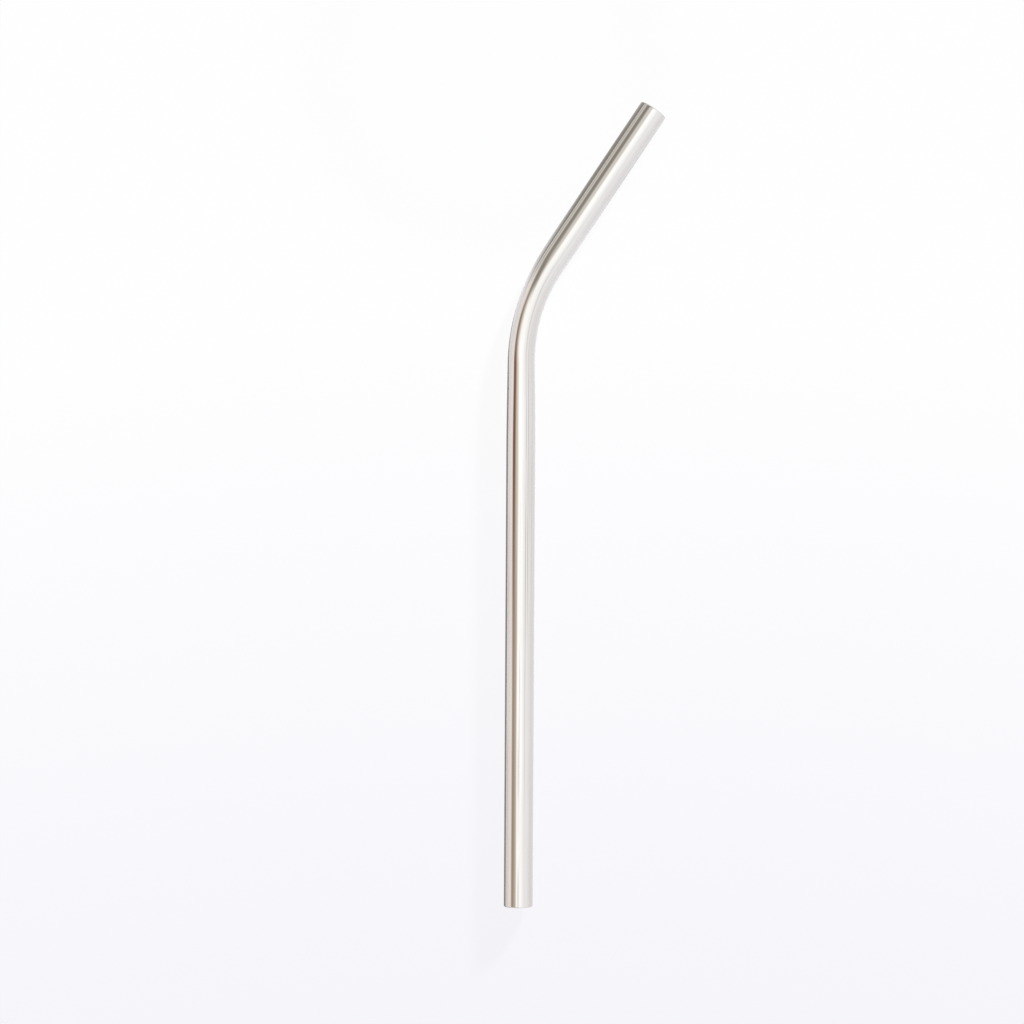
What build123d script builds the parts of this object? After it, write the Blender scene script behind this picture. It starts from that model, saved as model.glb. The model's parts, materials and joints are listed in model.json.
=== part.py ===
# Stainless steel drinking straw: one length of drawn tube with a single bend near the mouth
# It lies on its side on the XY plane, the long leg along Y and the short leg leaning towards +X

import os
from math import cos, pi, radians, sin

from build123d import *

# Driving dimensions, in mm and degrees
tube_diameter = 8.0     # outside of the drawn tube
wall_thickness = 0.5
lower_leg = 149.2       # from the end that stands in the drink to the start of the bend
upper_leg = 49.5        # from the end of the bend to the mouth
bend_radius = 52.0      # of the centreline
bend_angle = 33.5
bend_squash = 0.68      # width that the tube loses in the plane of the bend, at its middle
run_in = 25.0           # stretch of the lower leg over which the squash builds up
run_out = 6.0           # stretch of the upper leg over which it dies away
outer_round = 0.3       # deburred outside edge of both ends
bore_round = 0.15       # deburred edge of the bore at both ends

# The squash follows a half cosine on each side of the bend's middle, set out by this many sections
sections_a_side = 4

# Sizes worked out from them
tube_radius = tube_diameter / 2
bore_radius = tube_radius - wall_thickness
bend_length = bend_radius * radians(bend_angle)
outer_rim = min(outer_round, 0.63 * wall_thickness)
bore_rim = min(bore_round, 0.33 * wall_thickness)
lean_x = sin(radians(bend_angle))
lean_y = cos(radians(bend_angle))

# Reach of the centreline from the lower end, then of the rounded mouth rim beyond it
mouth_x = bend_radius * (1 - lean_y) + upper_leg * lean_x
mouth_y = lower_leg + bend_radius * lean_x + upper_leg * lean_y
widest_x = mouth_x + (tube_radius - outer_rim) * lean_y - outer_rim * lean_x + outer_rim
highest_y = mouth_y + (tube_radius - outer_rim) * lean_x - outer_rim * lean_y + outer_rim

# The lower end is placed so that the straw's footprint is centred on the origin
lower_end = Vector((tube_radius - widest_x) / 2, -highest_y / 2, tube_radius)
bend_start = lower_end + Vector(0, lower_leg, 0)

# Centreline of the formed stretch: the run-in, the bend and the run-out
with BuildLine() as formed_line:
    run_in_line = Line(bend_start - Vector(0, run_in, 0), bend_start)
    bend_arc = JernArc(bend_start, run_in_line % 1, bend_radius, -bend_angle)
    run_out_line = Line(bend_arc @ 1, bend_arc @ 1 + (bend_arc % 1) * run_out)

mouth = bend_arc @ 1 + (bend_arc % 1) * upper_leg


# Plane square to the centreline, a given distance past the start of the bend, its X axis upwards
def section_plane(station):
    if station < 0:
        point = bend_start + (run_in_line % 1) * station
        direction = run_in_line % 1
    elif station <= bend_length:
        point = bend_arc @ (station / bend_length)
        direction = bend_arc % (station / bend_length)
    else:
        point = bend_arc @ 1 + (run_out_line % 1) * (station - bend_length)
        direction = run_out_line % 1
    return Plane(origin=point, x_dir=(0, 0, 1), z_dir=direction)


# Sections as pairs: distance past the start of the bend, and the share of the squash there
bend_middle = bend_length / 2
sections = []
for step in range(2 * sections_a_side + 1):
    along = step / sections_a_side - 1
    side_length = bend_middle + (run_in if along < 0 else run_out)
    sections.append((bend_middle + along * side_length, (1 + cos(pi * along)) / 2))

# The outside is made first and the bore is then cut along the same line, so the wall stays even
with BuildPart() as straw:
    for radius, mode in ((tube_radius, Mode.ADD), (bore_radius, Mode.SUBTRACT)):
        with BuildSketch(Plane(origin=lower_end, z_dir=run_in_line % 0)):
            Circle(radius)
        extrude(amount=lower_leg - run_in, mode=mode)

        # The bending groove holds the tube's height, so only its width in the bend's plane shrinks
        for station, share in sections:
            with BuildSketch(section_plane(station)):
                Ellipse(radius, radius - share * bend_squash / 2)
        sweep(path=formed_line.wire(), multisection=True, mode=mode)

        with BuildSketch(Plane(origin=mouth, z_dir=-(run_out_line % 1))):
            Circle(radius)
        extrude(amount=upper_leg - run_out, mode=mode)

    # The two cut ends are the only flat faces; both edges of each are rounded, the outside one more
    fillet([face.outer_wire().edge() for face in straw.faces().filter_by(GeomType.PLANE)], outer_rim)
    fillet([face.inner_wires()[0].edge() for face in straw.faces().filter_by(GeomType.PLANE)], bore_rim)

straw.part.label = "straw"

os.makedirs("parts", exist_ok=True)
export_step(straw.part, "parts/straw.step")
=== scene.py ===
import json
import math

import bpy
import numpy as np
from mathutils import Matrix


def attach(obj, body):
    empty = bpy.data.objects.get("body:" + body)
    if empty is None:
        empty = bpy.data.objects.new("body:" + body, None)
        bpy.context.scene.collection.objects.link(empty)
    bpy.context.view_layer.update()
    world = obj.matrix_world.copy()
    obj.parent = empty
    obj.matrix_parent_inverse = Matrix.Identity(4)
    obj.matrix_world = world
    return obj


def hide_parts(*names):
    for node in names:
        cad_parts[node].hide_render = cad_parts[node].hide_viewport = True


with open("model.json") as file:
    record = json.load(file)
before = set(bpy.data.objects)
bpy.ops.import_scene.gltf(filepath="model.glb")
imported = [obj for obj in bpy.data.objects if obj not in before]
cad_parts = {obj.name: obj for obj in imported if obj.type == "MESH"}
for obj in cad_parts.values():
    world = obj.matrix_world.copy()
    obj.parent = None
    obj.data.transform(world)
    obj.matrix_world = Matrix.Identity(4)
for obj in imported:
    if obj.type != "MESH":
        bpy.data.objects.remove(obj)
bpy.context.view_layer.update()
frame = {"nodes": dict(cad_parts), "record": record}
print("frame: loaded", sorted(frame["nodes"]))

millimetre = 0.001  # in Blender's metres


# sRGB hex to linear light
def linear(hexColour):
    srgb = np.array([int(hexColour[i:i + 2], 16) for i in (1, 3, 5)]) / 255
    light = np.where(srgb <= 0.04045, srgb / 12.92, ((srgb + 0.055) / 1.055) ** 2.4)
    return (*light.tolist(), 1.0)


# One node with its settings. A socket takes a plain value, a hex colour, an output, or a node, whose first
# output is then linked. A Mix node's sockets go by number, as their names repeat: 2 and 3 are its numbers,
# 6 and 7 its colours, and output 2 is the mixed colour
def addNode(tree, kind, settings=None, sockets=None):
    node = tree.nodes.new("ShaderNode" + kind)
    for name, value in (settings or {}).items():
        if name == "stops":  # a ramp's own list: position and hex colour
            elements = node.color_ramp.elements
            while len(elements) < len(value):
                elements.new(1.0)
            for element, (position, colour) in zip(elements, value):
                element.position = position
                element.color = linear(colour)
        else:
            setattr(node, name, value)
    for socket, value in (sockets or {}).items():
        if isinstance(value, bpy.types.Node):
            value = value.outputs[0]
        if isinstance(value, bpy.types.NodeSocket):
            tree.links.new(value, node.inputs[socket])
        elif isinstance(value, str):
            node.inputs[socket].default_value = linear(value)
        else:
            node.inputs[socket].default_value = value
    return node


def emptyTree(owner):
    owner.use_nodes = True
    owner.node_tree.nodes.clear()
    return owner.node_tree


# The straw: one drawn tube, squashed a little where it was bent. Sizes in metres
straw = {
    "bendRadius": 0.052,      # of the centreline
    "squash": 0.00068,        # width lost in the plane of the bend, at its middle
    "runIn": 0.025,           # the squash builds up over this stretch of the long leg
    "runOut": 0.006,          # and dies away over this stretch of the short one
    "outerRound": 0.0003,     # deburred outside edge of both ends
    "boreRound": 0.00015,     # and edge of the bore
    "rimSteps": 8,
    "rimRings": (0.0001, 0.0004, 0.0012),  # past each rim, to keep the legs' shading clear of it
    "legStep": 0.004,         # spacing of the rings on the straight legs
    "bendStep": 0.0005,       # and on the formed stretch
    "around": 128,
}


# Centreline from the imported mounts: the two straight bores give both legs, and the bend is the arc that joins
# them. Stations are distances along it, with 0 at the start of the bend
def strawPath(size):
    mounts = {m["name"]: m for m in frame["record"]["mounts"]}
    lower, upper = mounts["lower_bore"], mounts["mouth_bore"]
    forward = -np.array(lower["axis"], float)
    onward = np.array(upper["axis"], float)
    angle = math.acos(float(forward @ onward))
    aside = (onward - forward * math.cos(angle)) / math.sin(angle)
    lowerMiddle = np.array(lower["pos_m"], float)
    upperMiddle = np.array(upper["pos_m"], float)
    lowerReach = millimetre * lower["dims"]["length_mm"] / 2 + size["boreRound"]
    upperReach = millimetre * upper["dims"]["length_mm"] / 2 + size["boreRound"]
    along = (upperMiddle - lowerMiddle) @ aside / math.sin(angle)  # from where the legs cross
    crossing = upperMiddle - onward * along
    tangent = size["bendRadius"] * math.tan(angle / 2)
    bendStart = crossing - forward * tangent
    bendLength = size["bendRadius"] * angle
    radius = millimetre * mounts["lower_shank"]["dims"]["r_mm"]
    return {
        "forward": forward, "aside": aside, "bendStart": bendStart, "bendLength": bendLength,
        "first": (lowerMiddle - bendStart) @ forward - lowerReach,
        "last": bendLength + along - tangent + upperReach,
        "radius": radius,
        "wall": radius - millimetre * lower["dims"]["r_mm"],
    }


# Rings of the tube's wall, as pairs of station and inset: out along the outside, round the mouth's rim,
# back through the bore and round the lower rim
def wallLoop(size, path):
    first, last, wall = path["first"], path["last"], path["wall"]
    outer, bore = size["outerRound"], size["boreRound"]
    formedFrom, formedTo = -size["runIn"], path["bendLength"] + size["runOut"]
    near = outer + np.array(size["rimRings"])
    lowerLeg = np.linspace(first + near[-1], formedFrom, int((formedFrom - first) / size["legStep"]))
    formed = np.linspace(formedFrom, formedTo, int((formedTo - formedFrom) / size["bendStep"]))
    upperLeg = np.linspace(formedTo, last - near[-1], int((last - formedTo) / size["legStep"]))
    outward = np.concatenate([first + near[:-1], lowerLeg, formed[1:-1], upperLeg, last - near[-2::-1]])

    # over a rim, from the outside to the bore: distance back from the cut end, and inset
    turn = np.linspace(0, math.pi / 2, size["rimSteps"] + 1)
    back = np.concatenate([outer * (1 - np.sin(turn)), bore * (1 - np.sin(turn[::-1]))])
    sink = np.concatenate([outer * (1 - np.cos(turn)), wall - bore * (1 - np.cos(turn[::-1]))])
    stations = np.concatenate([outward, last - back, outward[::-1], first + back[::-1]])
    insets = np.concatenate([0 * outward, sink, 0 * outward + wall, sink[::-1]])
    return stations, insets


# Point at a station s and a turn t round the tube: centre(s) + (half width - inset) * cos t sideways
# + (radius - inset) * sin t upwards. The heading turns evenly through the bend, and the half width loses
# half the squash times (1 + cos(pi * a)) / 2, where a runs from -1 to 1 over the formed stretch
def wallPoints(size, path, stations, insets):
    turns = np.linspace(0, 2 * math.pi, size["around"], endpoint=False)
    inBend = np.clip(stations, 0, path["bendLength"])
    straight = (stations - inBend)[:, None]
    heading = (inBend / size["bendRadius"])[:, None]
    radius = size["bendRadius"]
    centres = (path["bendStart"]
               + (radius * np.sin(heading) + straight * np.cos(heading)) * path["forward"]
               + (radius * (1 - np.cos(heading)) + straight * np.sin(heading)) * path["aside"])
    sideways = np.cos(heading) * path["aside"] - np.sin(heading) * path["forward"]
    upwards = np.array([0.0, 0.0, 1.0])

    middle = path["bendLength"] / 2
    reach = np.where(stations < middle, middle + size["runIn"], middle + size["runOut"])
    share = (1 + np.cos(math.pi * np.clip((stations - middle) / reach, -1, 1))) / 2
    height = path["radius"] - insets
    width = height - share * size["squash"] / 2
    points = (centres[:, None]
              + (width[:, None] * np.cos(turns))[..., None] * sideways[:, None]
              + (height[:, None] * np.sin(turns))[..., None] * upwards)

    # the same points on the tube before it was bent, for the marks that run along it
    unbent = np.stack([
        height[:, None] * np.cos(turns), height[:, None] * np.sin(turns),
        np.broadcast_to(stations[:, None], (len(stations), len(turns)))], axis=-1)
    return points, unbent


# Quads of a grid that closes on itself both ways, turned so that they face out of the metal
def closedGrid(rows, columns):
    row, column = np.meshgrid(np.arange(rows), np.arange(columns), indexing="ij")
    nextRow, nextColumn = (row + 1) % rows, (column + 1) % columns
    corners = [row * columns + column, nextRow * columns + column,
               nextRow * columns + nextColumn, row * columns + nextColumn]
    return np.stack(corners, axis=-1).reshape(-1, 4)


def buildStraw(size, path):
    stations, insets = wallLoop(size, path)
    points, unbent = wallPoints(size, path, stations, insets)
    mesh = bpy.data.meshes.new("straw")
    mesh.from_pydata(points.reshape(-1, 3).tolist(), [], closedGrid(*points.shape[:2]).tolist())
    mesh.polygons.foreach_set("use_smooth", np.ones(len(mesh.polygons), bool))
    unbentPlace = mesh.attributes.new("unbentPlace", "FLOAT_VECTOR", "POINT")
    unbentPlace.data.foreach_set("vector", unbent.astype(np.float32).ravel())
    mesh.update()
    piece = bpy.data.objects.new("drawn_straw", mesh)
    bpy.context.scene.collection.objects.link(piece)
    length = np.ptp(stations) / millimetre
    print("straw:", len(stations), "rings of", size["around"], "points,", round(length, 2), "mm of tube")
    return piece


# Stainless steel, drawn through a die and polished along its length: a bright mirror, drawn out into fine
# lines that run the way it was drawn, with a few deeper scores and dull patches from handling. Two grey lines
# along the top, made like scores, are a painted reflection of the camera overhead
steel = {
    # the grey of the scores also paints a reflection of the camera along the top of the tube
    "metal": "#d8d7d6", "handled": "#d0cecb", "scoredAndPaintedReflection": "#aaa6a0",
    "roughness": (0.04, 0.08),     # of the clean and of the handled metal
    "scoredRoughness": 0.20,
    "boreRoughness": 0.38,         # the bore is left as it was drawn
    "boreFrom": 0.9,               # share of the wall's thickness past which that finish starts
    "dieLine": (0.7, 80.0),        # mm across and along; real ones are much finer and wouldn't show
    "dieDepth": 0.006,             # mm
    "smudge": (4.0, 30.0),         # mm across and along
    "lineShare": 0.55,             # how much of the dulling follows the die lines, not the smudges
    "dulling": (0.4, 0.65),        # noise over which clean metal turns to handled
    # turn round the tube in degrees, 90 on top, then from where to where along it in mm, 0 at the bend's
    # start. A score fades towards both ends, so one that begins past the lower end is still strong there
    # those at 91 and 95 degrees, along the top, paint the camera's reflection as a grey line
    "scoresAndPaintedReflection": [(72, -10, 30), (69, -125, 12), (60, -80, 15), (91, -190, -30), (95, -170, -90),
               (143, -190, -10), (200, -120, -30), (285, -149, 60), (330, -60, 70)],
    "scoreWidth": 0.16,            # mm
    "scoreGap": (1.5, 25.0),       # mm across and along, of the wear that breaks the scores up
    "wearing": (0.35, 0.6),        # noise over which a score goes from worn away to whole
}


def buildSteel(look, path):
    material = bpy.data.materials.new("drawn_stainless_steel_polished_lengthwise")
    tree = emptyTree(material)
    unbent = addNode(tree, "Attribute", {"attribute_name": "unbentPlace"}).outputs["Vector"]

    def pattern(spot, detail):  # noise with spots of that size, in mm across and along the tube
        across, along = (1 / (millimetre * length) for length in spot)
        place = addNode(tree, "VectorMath", {"operation": "MULTIPLY"}, {
            0: unbent, 1: (across, across, along)})
        return addNode(tree, "TexNoise", None, {"Vector": place, "Scale": 1.0, "Detail": detail})

    axes = addNode(tree, "SeparateXYZ", None, {0: unbent}).outputs
    turn = addNode(tree, "Math", {"operation": "ARCTAN2"}, {0: axes["Y"], 1: axes["X"]})
    halfWidth = millimetre * look["scoreWidth"] / 2 / path["radius"]  # as an angle
    # mask of the scores and of the painted reflection of the camera along the top
    scoredAndPaintedReflection = 0.0
    for degrees, begins, ends in look["scoresAndPaintedReflection"]:
        scoreTurn = math.radians((degrees + 180) % 360 - 180)  # between -180 and 180 degrees, as turn is
        middle = millimetre * (begins + ends) / 2
        reach = millimetre * (ends - begins) / 2
        here = addNode(tree, "Math", {"operation": "COMPARE"}, {0: turn, 1: scoreTurn, 2: halfWidth})
        offset = addNode(tree, "Math", {"operation": "SUBTRACT"}, {0: axes["Z"], 1: middle})
        distance = addNode(tree, "Math", {"operation": "ABSOLUTE"}, {0: offset})
        fade = addNode(tree, "MapRange", None, {"Value": distance, "From Min": reach, "From Max": reach / 2})
        scoredAndPaintedReflection = addNode(tree, "Math", {"operation": "MULTIPLY_ADD"}, {0: here, 1: fade, 2: scoredAndPaintedReflection})
    kept = addNode(tree, "MapRange", None, {
        "Value": pattern(look["scoreGap"], detail=1.0),
        "From Min": look["wearing"][0], "From Max": look["wearing"][1]})
    scoredAndPaintedReflection = addNode(tree, "Math", {"operation": "MULTIPLY"}, {0: scoredAndPaintedReflection, 1: kept})

    dieLines = pattern(look["dieLine"], detail=3.0)
    dulled = addNode(tree, "Mix", {"data_type": "FLOAT"}, {
        "Factor": look["lineShare"], 2: pattern(look["smudge"], detail=2.0), 3: dieLines})
    handled = addNode(tree, "MapRange", None, {
        "Value": dulled, "From Min": look["dulling"][0], "From Max": look["dulling"][1]})
    polish = addNode(tree, "MapRange", None, {
        "Value": handled, "To Min": look["roughness"][0], "To Max": look["roughness"][1]})
    outside = addNode(tree, "Mix", {"data_type": "FLOAT"}, {
        "Factor": scoredAndPaintedReflection, 2: polish, 3: look["scoredRoughness"]})
    section = addNode(tree, "VectorMath", {"operation": "MULTIPLY"}, {0: unbent, 1: (1.0, 1.0, 0.0)})
    fromMiddle = addNode(tree, "VectorMath", {"operation": "LENGTH"}, {0: section}).outputs["Value"]
    boreEdge = path["radius"] - look["boreFrom"] * path["wall"]
    inBore = addNode(tree, "Math", {"operation": "LESS_THAN"}, {0: fromMiddle, 1: boreEdge})
    roughness = addNode(tree, "Mix", {"data_type": "FLOAT"}, {
        "Factor": inBore, 2: outside, 3: look["boreRoughness"]})
    clean = addNode(tree, "Mix", {"data_type": "RGBA"}, {
        "Factor": handled, 6: look["metal"], 7: look["handled"]}).outputs[2]
    colour = addNode(tree, "Mix", {"data_type": "RGBA"}, {
        "Factor": scoredAndPaintedReflection, 6: clean, 7: look["scoredAndPaintedReflection"]}).outputs[2]
    bump = addNode(tree, "Bump", None, {
        "Strength": 1.0, "Distance": millimetre * look["dieDepth"], "Height": dieLines})
    metal = addNode(tree, "BsdfPrincipled", None, {
        "Base Color": colour, "Metallic": 1.0, "Roughness": roughness, "Normal": bump})
    addNode(tree, "OutputMaterial", None, {"Surface": metal})
    print("steel:", len(look["scoresAndPaintedReflection"]), "scoresAndPaintedReflection")
    return material


strawLine = strawPath(straw)
strawPiece = buildStraw(straw, strawLine)
strawPiece.data.materials.append(buildSteel(steel, strawLine))
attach(strawPiece, "root")
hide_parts("straw")


# Table of pale matt paper that the straw lies on, with painted shade that makes it a little greyer towards the
# lower edge of the picture. Beside the mouth leg lies a soft grey patch of painted shade, which the leg mirrors
# along its left flank as its dark edge, and the camera sees even light over the patch
table = {
    "half": 3.0,               # metres, as all sizes here
    # paper and glow go greyer inside a broad round pool of painted shade towards the lower edge of the picture
    "paperFar": "#f9f6f2", "paperInPaintedShade": "#f1ede6",
    # a soft grey patch of painted shade beside the mouth leg, which the leg mirrors as its dark left edge
    "paintedShadePatch": "#918b7e", "paintedShadePatchCentre": (-0.028, 0.120, 0.0), "paintedShadePatchRadius": (0.033, 0.056),
    "glowFar": "#fefeff", "glowInPaintedShade": "#f5f4fa",
    "paintedShadeCentre": (0.0, -0.80, 0.0), "paintedShadeRadius": (0.65, 0.85),
    "seenGlow": 0.96,          # share of its own light that the camera sees; the rest keeps the shadow
    "mirroredGlow": 0.05,      # and that the metal mirrors
}


def buildTable(look):
    half = look["half"]
    corners = [(-half, -half, 0), (half, -half, 0), (half, half, 0), (-half, half, 0)]
    mesh = bpy.data.meshes.new("table")
    mesh.from_pydata(corners, [], [(0, 1, 2, 3)])
    board = bpy.data.objects.new("table", mesh)
    bpy.context.scene.collection.objects.link(board)
    material = bpy.data.materials.new("pale_paper_table")
    tree = emptyTree(material)
    place = addNode(tree, "TexCoord").outputs["Object"]

    def spot(centre, radius):  # 1 within the first radius, fading to 0 at the second
        distance = addNode(tree, "VectorMath", {"operation": "DISTANCE"}, {0: place, 1: centre})
        return addNode(tree, "MapRange", None, {
            "Value": distance.outputs["Value"], "From Min": radius[1], "From Max": radius[0]})

    # the broad pool of painted shade towards the lower edge of the picture
    near = spot(look["paintedShadeCentre"], look["paintedShadeRadius"])
    # the patch of painted shade: the metal mirrors it, and the camera sees even light over it
    paintedShadeSpot = spot(look["paintedShadePatchCentre"], look["paintedShadePatchRadius"])
    glowColour = addNode(tree, "Mix", {"data_type": "RGBA"}, {
        "Factor": near, 6: look["glowFar"], 7: look["glowInPaintedShade"]}).outputs[2]
    plainColour = addNode(tree, "Mix", {"data_type": "RGBA"}, {
        "Factor": near, 6: look["paperFar"], 7: look["paperInPaintedShade"]}).outputs[2]
    paperColour = addNode(tree, "Mix", {"data_type": "RGBA"}, {
        "Factor": paintedShadeSpot, 6: plainColour, 7: look["paintedShadePatch"]}).outputs[2]

    rays = addNode(tree, "LightPath").outputs
    mirrored = addNode(tree, "Math", {"operation": "ADD"}, {
        0: rays["Is Glossy Ray"], 1: rays["Is Transmission Ray"]})
    mirroredGlow = addNode(tree, "Math", {"operation": "MULTIPLY"}, {0: mirrored, 1: look["mirroredGlow"]})
    seenGlow = addNode(tree, "MapRange", None, {"Value": paintedShadeSpot, "To Min": look["seenGlow"]})
    glowShare = addNode(tree, "Math", {"operation": "MULTIPLY_ADD"}, {
        0: rays["Is Camera Ray"], 1: seenGlow, 2: mirroredGlow})
    paper = addNode(tree, "BsdfDiffuse", None, {"Color": paperColour})
    glow = addNode(tree, "Emission", None, {"Color": glowColour, "Strength": 1.0})
    surface = addNode(tree, "MixShader", None, {0: glowShare, 1: paper, 2: glow})
    addNode(tree, "OutputMaterial", None, {"Surface": surface})
    mesh.materials.append(material)
    print("table: ready")


# Studio round the straw, by direction: a soft light overhead, pale walls, and on the left brown and grey
# screens that the polished tube mirrors as its dark stripes
studio = {
    "backdrop": "#fefeff",                     # what the camera would see past the table
    "daylight": "#fffcf5", "ambient": 0.34,    # even light on the table
    "mirrorLevel": 1.5,                        # brightness of the walls in the metal
    "paint": {
        "lamp": "#fefdfb", "pearl": "#efeff0", "mist": "#e6e6e7", "wall": "#e9e8e9", "haze": "#e0dedf",
        "cream": "#e4dad3", "oat": "#d8d0c8", "sand": "#cbc1b3", "khaki": "#bdb5a4", "olive": "#9d8d7f",
        "brown": "#74564b", "taupe": "#897a72", "silver": "#ccc8c2", "stone": "#b5b0a7", "slate": "#878178"},
    # paints of each side, with their degrees down from straight overhead
    "right": [(16, "lamp"), (30, "pearl"), (39, "mist"), (45, "mist"), (54, "wall"), (78, "haze"),
              (90, "haze")],
    "front": [(18, "lamp"), (27, "khaki"), (45, "olive"), (57, "olive"), (67, "cream"), (76, "cream"),
              (90, "oat")],
    "left": [(15, "lamp"), (26, "sand"), (34, "sand"), (50, "brown"), (63, "brown"), (72, "cream")],
    "between": [(27, "lamp"), (42, "sand"), (56, "taupe"), (64, "taupe"), (75, "cream")],
    "corner": [(14, "lamp"), (23, "stone"), (36, "slate"), (55, "slate"), (64, "silver"), (73, "cream")],
    "behind": [(9, "lamp"), (15, "silver"), (30, "silver"), (44, "slate"), (59, "slate"), (70, "silver"),
               (78, "stone")],
    # bearings over which each side takes over from the one before it, in degrees round from due left and
    # positive towards the bend's end of the table
    "frontFrom": (-75, -50), "leftFrom": (-4.5, 1.5), "betweenFrom": (2, 14), "cornerFrom": (33, 42),
    "behindFrom": (46, 54), "rightFrom": (100, 140),
    "lean": 0.25,  # the seams of corner and behind lean: this share of the angle down is added to the bearing
}


def buildStudio(look):
    world = bpy.data.worlds.new("studio")
    bpy.context.scene.world = world
    tree = emptyTree(world)
    direction = addNode(tree, "TexCoord").outputs["Generated"]
    axes = addNode(tree, "SeparateXYZ", None, {0: direction}).outputs
    tilt = addNode(tree, "Math", {"operation": "ARCCOSINE"}, {0: axes["Z"]})
    drop = addNode(tree, "Math", {"operation": "DIVIDE", "use_clamp": True}, {0: tilt, 1: math.pi / 2})
    leftward = addNode(tree, "Math", {"operation": "MULTIPLY"}, {0: axes["X"], 1: -1.0})
    bearing = addNode(tree, "Math", {"operation": "ARCTAN2"}, {0: axes["Y"], 1: leftward})
    leaned = addNode(tree, "Math", {"operation": "MULTIPLY_ADD"}, {0: tilt, 1: look["lean"], 2: bearing})

    def side(name):  # its colours down the wall, from overhead to the horizon
        stops = [(degrees / 90, look["paint"][paint]) for degrees, paint in look[name]]
        return addNode(tree, "ValToRGB", {"stops": stops}, {0: drop})

    seams = {"front": bearing, "left": bearing, "between": bearing,
             "corner": leaned, "behind": leaned, "right": bearing}
    sides = {name: side(name) for name in seams}
    mirrored = sides["right"]
    for name, seam in seams.items():
        begins, ends = look[name + "From"]
        fade = addNode(tree, "MapRange", {"interpolation_type": "SMOOTHSTEP"}, {
            "Value": seam, "From Min": math.radians(begins), "From Max": math.radians(ends)})
        mirrored = addNode(tree, "Mix", {"data_type": "RGBA"}, {
            "Factor": fade, 6: mirrored, 7: sides[name]}).outputs[2]

    rays = addNode(tree, "LightPath").outputs
    ambient = addNode(tree, "Background", None, {"Color": look["daylight"], "Strength": look["ambient"]})
    walls = addNode(tree, "Background", None, {"Color": mirrored, "Strength": look["mirrorLevel"]})
    backdrop = addNode(tree, "Background", None, {"Color": look["backdrop"], "Strength": 1.0})
    seen = addNode(tree, "Math", {"operation": "MAXIMUM"}, {
        0: rays["Is Camera Ray"], 1: rays["Is Transmission Ray"]})
    lit = addNode(tree, "MixShader", None, {0: rays["Is Glossy Ray"], 1: ambient, 2: walls})
    surface = addNode(tree, "MixShader", None, {0: seen, 1: lit, 2: backdrop})
    addNode(tree, "OutputWorld", None, {"Surface": surface})
    print("studio: ready")


# Soft key light, low on the upper right, that lays the long leg's shadow to its left. Angles in degrees
key = {"colour": "#f1f4ff", "bearing": 60.0, "height": 19.7, "strength": 8.2, "softness": 5.5}


def buildKey(look):
    lamp = bpy.data.lights.new("key", "SUN")
    lamp.energy = look["strength"]
    lamp.color = linear(look["colour"])[:3]
    lamp.angle = math.radians(look["softness"])
    holder = bpy.data.objects.new("key", lamp)
    holder.rotation_euler = (0, math.radians(90 - look["height"]), math.radians(look["bearing"]))
    holder.visible_glossy = False  # the metal mirrors the studio's own light overhead instead
    bpy.context.scene.collection.objects.link(holder)
    print("key: ready")


# Camera straight above the table, turned a touch as in the picture. Lens and sensor in mm, roll in degrees
camera = {"lens": 105.0, "sensor": 36.0, "place": (-0.019934, -0.002227, 0.8251), "roll": 0.317, "clip": 0.01}


def buildCamera(look):
    lens = bpy.data.cameras.new("camera")
    lens.lens = look["lens"]
    lens.sensor_width = look["sensor"]
    lens.clip_start = look["clip"]
    holder = bpy.data.objects.new("camera", lens)
    holder.location = look["place"]
    holder.rotation_euler = (0, 0, math.radians(look["roll"]))
    bpy.context.scene.collection.objects.link(holder)
    bpy.context.scene.camera = holder
    print("camera: ready")


buildTable(table)
buildStudio(studio)
buildKey(key)
buildCamera(camera)
bpy.context.scene.view_settings.view_transform = "Standard"
